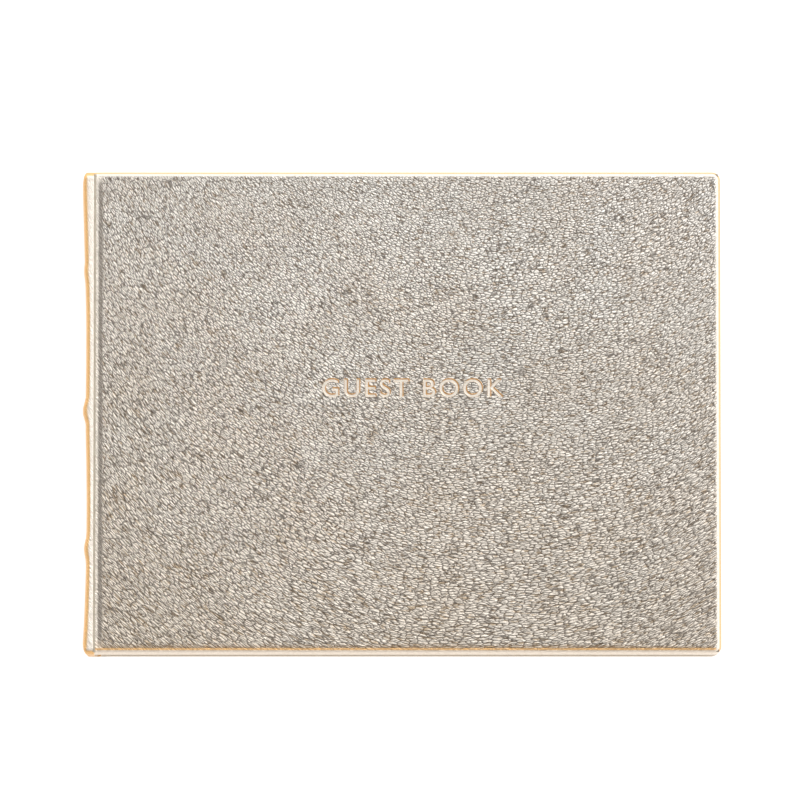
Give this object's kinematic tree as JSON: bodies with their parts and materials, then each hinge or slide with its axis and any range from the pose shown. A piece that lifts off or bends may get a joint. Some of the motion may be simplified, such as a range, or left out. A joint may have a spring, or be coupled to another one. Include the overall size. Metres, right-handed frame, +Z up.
{
  "type": "wedding guest book",
  "caption": "Sewn landscape guest book in a champagne leather case with a rounded spine, raised bands, hinged covers and turning leaves.",
  "frame": {"origin": "under the middle of the shut book, on the plane that its back cover lies on", "axes": "+Z up out of the front cover; +X from the spine to the fore edge; +Y from the tail to the head"},
  "size_m": [0.235, 0.178, 0.025],
  "materials": {
    "case_leather": "pebbled grain with a champagne metallic finish",
    "board": "dense grey bookbinding board",
    "endpaper": "heavy ivory endpaper",
    "page_paper": "ivory leaves with gilt edges",
    "spine_card": "spine card and lining paper",
    "mull_cloth": "open-weave starched cloth",
    "linen": "linen tape and thread",
    "endband_silk": "cream and gold sewn endband"
  },
  "bodies": {
    "text_block": {"section_5": "page_paper", "spine_leather": "case_leather", "spine_inlay": "spine_card", "raised_band_1": "spine_card", "raised_band_2": "spine_card", "raised_band_3": "spine_card", "spine_lining": "spine_card", "spine_mull": "mull_cloth", "sewing_tape_1": "linen", "sewing_tape_2": "linen", "sewing_tape_3": "linen", "kettle_stitch_head": "linen", "kettle_stitch_tail": "linen", "head_endband": "endband_silk", "tail_endband": "endband_silk", "front_joint_leather": "case_leather", "back_joint_leather": "case_leather"},
    "front_cover": {"front_cover_leather": "case_leather", "front_board": "board", "front_board_infill": "spine_card", "front_pastedown": "endpaper"},
    "front_leaf": {"front_flyleaf": "endpaper"},
    "leaves_1": {"section_1": "page_paper"},
    "leaves_2": {"section_2": "page_paper"},
    "leaves_3": {"section_3": "page_paper"},
    "leaves_4": {"section_4": "page_paper"},
    "leaves_6": {"section_6": "page_paper"},
    "leaves_7": {"section_7": "page_paper"},
    "leaves_8": {"section_8": "page_paper"},
    "leaves_9": {"section_9": "page_paper"},
    "back_leaf": {"back_flyleaf": "endpaper"},
    "back_cover": {"back_cover_leather": "case_leather", "back_board": "board", "back_board_infill": "spine_card", "back_pastedown": "endpaper"}
  },
  "joints": [
    {"name": "front_cover_hinge", "type": "hinge", "parent": "text_block", "child": "front_cover", "pos_m": [-0.1139, 0, 0.02283], "axis": [0, -1, 0], "range_deg": [0, 180], "deforming": ["front_joint_leather"]},
    {"name": "front_flyleaf_turn", "type": "hinge", "parent": "text_block", "child": "front_leaf", "pos_m": [-0.1139, 0, 0.02283], "axis": [0, -1, 0], "range_deg": [0, 175.5]},
    {"name": "section_1_turn", "type": "hinge", "parent": "text_block", "child": "leaves_1", "pos_m": [-0.1139, 0, 0.02283], "axis": [0, -1, 0], "range_deg": [0, 171.9]},
    {"name": "section_2_turn", "type": "hinge", "parent": "text_block", "child": "leaves_2", "pos_m": [-0.1139, 0, 0.02283], "axis": [0, -1, 0], "range_deg": [0, 167.4]},
    {"name": "section_3_turn", "type": "hinge", "parent": "text_block", "child": "leaves_3", "pos_m": [-0.1139, 0, 0.02283], "axis": [0, -1, 0], "range_deg": [0, 162]},
    {"name": "section_4_turn", "type": "hinge", "parent": "text_block", "child": "leaves_4", "pos_m": [-0.1139, 0, 0.02283], "axis": [0, -1, 0], "range_deg": [0, 155.7]},
    {"name": "back_cover_hinge", "type": "hinge", "parent": "text_block", "child": "back_cover", "pos_m": [-0.1139, 0, 0.00217], "axis": [0, 1, 0], "range_deg": [0, 180], "deforming": ["back_joint_leather"]},
    {"name": "back_flyleaf_turn", "type": "hinge", "parent": "text_block", "child": "back_leaf", "pos_m": [-0.1139, 0, 0.00217], "axis": [0, 1, 0], "range_deg": [0, 175.5]},
    {"name": "section_9_turn", "type": "hinge", "parent": "text_block", "child": "leaves_9", "pos_m": [-0.1139, 0, 0.00217], "axis": [0, 1, 0], "range_deg": [0, 171.9]},
    {"name": "section_8_turn", "type": "hinge", "parent": "text_block", "child": "leaves_8", "pos_m": [-0.1139, 0, 0.00217], "axis": [0, 1, 0], "range_deg": [0, 167.4]},
    {"name": "section_7_turn", "type": "hinge", "parent": "text_block", "child": "leaves_7", "pos_m": [-0.1139, 0, 0.00217], "axis": [0, 1, 0], "range_deg": [0, 162]},
    {"name": "section_6_turn", "type": "hinge", "parent": "text_block", "child": "leaves_6", "pos_m": [-0.1139, 0, 0.00217], "axis": [0, 1, 0], "range_deg": [0, 155.7]}
  ],
  "couplings": [
    {"joint": "front_flyleaf_turn", "follows": "front_cover_hinge", "ratio": 0.975},
    {"joint": "section_1_turn", "follows": "front_cover_hinge", "ratio": 0.955},
    {"joint": "section_2_turn", "follows": "front_cover_hinge", "ratio": 0.93},
    {"joint": "section_3_turn", "follows": "front_cover_hinge", "ratio": 0.9},
    {"joint": "section_4_turn", "follows": "front_cover_hinge", "ratio": 0.865},
    {"joint": "back_flyleaf_turn", "follows": "back_cover_hinge", "ratio": 0.975},
    {"joint": "section_9_turn", "follows": "back_cover_hinge", "ratio": 0.955},
    {"joint": "section_8_turn", "follows": "back_cover_hinge", "ratio": 0.93},
    {"joint": "section_7_turn", "follows": "back_cover_hinge", "ratio": 0.9},
    {"joint": "section_6_turn", "follows": "back_cover_hinge", "ratio": 0.865}
  ]
}
